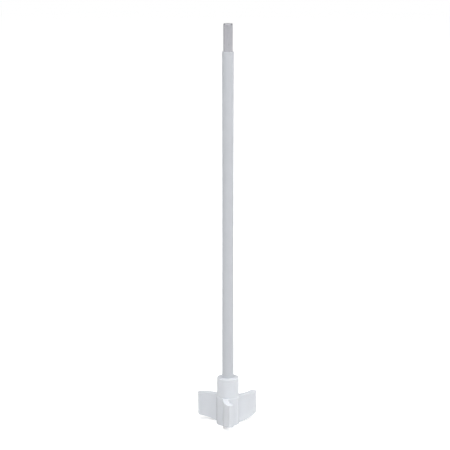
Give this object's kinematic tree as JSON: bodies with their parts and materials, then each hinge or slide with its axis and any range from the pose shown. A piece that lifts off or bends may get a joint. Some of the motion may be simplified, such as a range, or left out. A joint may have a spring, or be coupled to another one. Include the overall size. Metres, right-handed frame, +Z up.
{
  "type": "overhead stirrer shaft",
  "caption": "PTFE stirrer shaft with a steel core, bare at the chuck end, and a fixed retreat-curve impeller with curved blades, for stirring liquid in a reaction vessel.",
  "frame": {"origin": "middle of the flat foot under the impeller's hub, which the stirrer stands on", "axes": "+Z up the shaft to the bare steel end; one blade's tip points along -Y, and the blades curve anticlockwise towards their tips seen from above"},
  "size_m": [0.0518, 0.0468, 0.35],
  "materials": {
    "steel": "bright ground stainless bar",
    "ptfe": "machined white PTFE with a soft sheen"
  },
  "bodies": {
    "root": {"core_rod": "steel", "shaft_sleeve": "ptfe", "impeller": "ptfe"}
  },
  "joints": []
}
